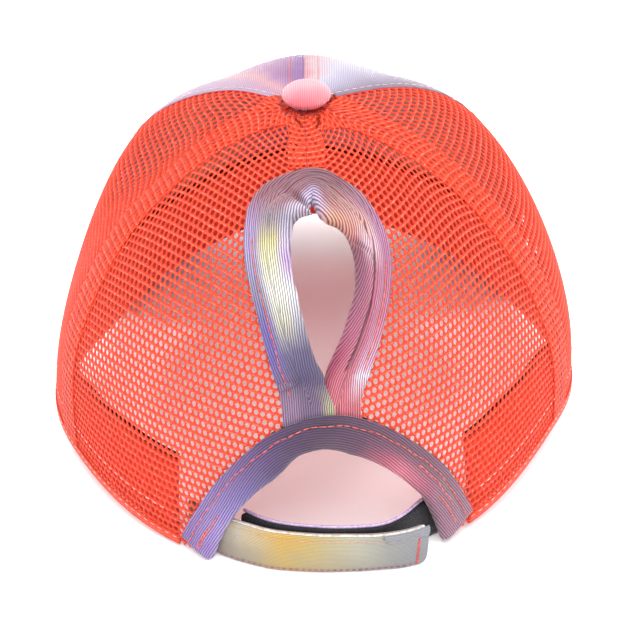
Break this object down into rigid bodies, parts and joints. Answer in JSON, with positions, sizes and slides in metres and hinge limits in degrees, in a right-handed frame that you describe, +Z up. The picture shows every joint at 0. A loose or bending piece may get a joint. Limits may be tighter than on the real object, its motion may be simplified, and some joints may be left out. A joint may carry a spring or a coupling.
{
  "type": "ponytail baseball cap",
  "caption": "Mesh-backed baseball cap with a curved peak, covered button, drop-shaped ponytail opening, rear arch and a hook-and-loop strap; hollow inside.",
  "frame": {"origin": "middle of the cap's outline, on the surface that the cap rests on", "axes": "+X to the wearer's right, +Y to the front, the way the peak points, +Z up"},
  "size_m": [0.184, 0.2632, 0.1187],
  "materials": {
    "front_twill": "tie-dyed cotton twill, matt",
    "mesh": "warp-knitted polyester mesh, slight sheen",
    "sweatband": "woven cotton band, matt",
    "button_twill": "ribbed cotton over a pressed button, matt",
    "binding_tape": "tie-dyed cotton twill folded to a tape, matt",
    "strap_twill": "tie-dyed cotton twill, matt",
    "hook_tape": "woven nylon loop tape, matt"
  },
  "bodies": {
    "root": {"front_panel_left": "front_twill", "front_panel_right": "front_twill", "side_mesh_left": "mesh", "side_mesh_right": "mesh", "rear_mesh_left": "mesh", "rear_mesh_right": "mesh", "seam_band_back": "mesh", "seam_band_left": "mesh", "seam_band_right": "mesh", "sweatband": "sweatband", "button": "button_twill", "ponytail_binding": "binding_tape", "arch_binding": "binding_tape", "strap_tab": "strap_twill", "strap_loop": "hook_tape", "peak": "front_twill"}
  },
  "joints": []
}
